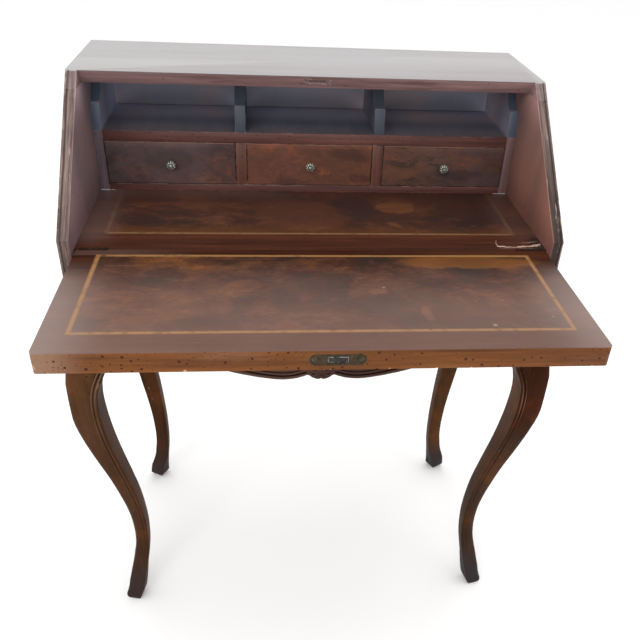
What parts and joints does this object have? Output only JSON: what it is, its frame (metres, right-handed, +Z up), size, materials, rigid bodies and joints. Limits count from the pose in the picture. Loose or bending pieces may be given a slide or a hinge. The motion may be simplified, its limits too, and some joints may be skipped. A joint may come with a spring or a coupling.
{
  "type": "drop-front desk",
  "caption": "Small slant-fronted writing desk with a hinged fall, fitted drawers and pigeonholes, pull-out supports and cabriole legs.",
  "frame": {"origin": "on the floor, under the middle of the bounding box of the desk with its fall open", "axes": "+X to the right of a person who sits at the desk, +Y from the front to the back, +Z up"},
  "size_m": [0.7674, 0.678, 0.95],
  "materials": {
    "walnut": "worn waxed walnut",
    "burl_walnut": "polished burl walnut veneer with light stringing",
    "leg_walnut": "dark waxed walnut",
    "interior_walnut": "dark stained walnut",
    "secondary_wood": "dull unfinished softwood",
    "tarnished_brass": "tarnished",
    "lock_metal": "dull and browned"
  },
  "bodies": {
    "case": {"side_panel_left": "walnut", "side_panel_right": "walnut", "top_board": "walnut", "back_board": "secondary_wood", "writing_board": "burl_walnut", "bottom_board": "secondary_wood", "frieze_panel": "burl_walnut", "hinge_rail": "secondary_wood", "front_apron": "leg_walnut", "side_apron_left": "leg_walnut", "side_apron_right": "leg_walnut", "back_rail": "leg_walnut", "leg_front_left": "leg_walnut", "leg_front_right": "leg_walnut", "leg_back_left": "leg_walnut", "leg_back_right": "leg_walnut", "loper_guide_left": "secondary_wood", "loper_guide_right": "secondary_wood", "unit_end_left": "interior_walnut", "unit_end_right": "interior_walnut", "unit_base": "interior_walnut", "unit_shelf": "interior_walnut", "partition_left": "interior_walnut", "partition_right": "interior_walnut", "divider_left": "interior_walnut", "divider_right": "interior_walnut", "hinge_fixed_leaf_left": "tarnished_brass", "hinge_fixed_leaf_right": "tarnished_brass", "hinge_pins": "lock_metal", "hinge_fixed_screws": "lock_metal", "strike_plate": "tarnished_brass", "strike_screws": "lock_metal"},
    "fall": {"fall_panel": "burl_walnut", "hinge_moving_leaf_left": "tarnished_brass", "hinge_moving_leaf_right": "tarnished_brass", "hinge_moving_screws": "lock_metal", "lock_plate": "lock_metal", "lock_case": "lock_metal", "lock_screws": "lock_metal", "key_escutcheon": "tarnished_brass"},
    "bolt": {"lock_bolt": "lock_metal"},
    "drawer_left": {"drawer_left_front": "burl_walnut", "drawer_left_frame": "secondary_wood", "drawer_left_bottom": "secondary_wood", "drawer_left_knob": "tarnished_brass"},
    "drawer_middle": {"drawer_middle_front": "burl_walnut", "drawer_middle_frame": "secondary_wood", "drawer_middle_bottom": "secondary_wood", "drawer_middle_knob": "tarnished_brass"},
    "drawer_right": {"drawer_right_front": "burl_walnut", "drawer_right_frame": "secondary_wood", "drawer_right_bottom": "secondary_wood", "drawer_right_knob": "tarnished_brass"},
    "loper_left": {"loper_left": "walnut", "loper_stop_left": "secondary_wood", "loper_knob_left": "tarnished_brass"},
    "loper_right": {"loper_right": "walnut", "loper_stop_right": "secondary_wood", "loper_knob_right": "tarnished_brass"}
  },
  "joints": [
    {"name": "fall_hinge", "type": "hinge", "parent": "case", "child": "fall", "pos_m": [0, -0.07404, 0.75303], "axis": [-1, 0, 0], "range_deg": [0, 138.51]},
    {"name": "drawer_left_slide", "type": "slide", "parent": "case", "child": "drawer_left", "axis": [0, -1, 0], "range_m": [0, 0.12]},
    {"name": "drawer_middle_slide", "type": "slide", "parent": "case", "child": "drawer_middle", "axis": [0, -1, 0], "range_m": [0, 0.12]},
    {"name": "drawer_right_slide", "type": "slide", "parent": "case", "child": "drawer_right", "axis": [0, -1, 0], "range_m": [0, 0.12]},
    {"name": "loper_left_slide", "type": "slide", "parent": "case", "child": "loper_left", "axis": [0, 1, 0], "range_m": [0, 0.19]},
    {"name": "loper_right_slide", "type": "slide", "parent": "case", "child": "loper_right", "axis": [0, 1, 0], "range_m": [0, 0.19]},
    {"name": "lock_bolt_slide", "type": "slide", "parent": "fall", "child": "bolt", "axis": [0, -1, 0], "range_m": [0, 0.006]}
  ]
}
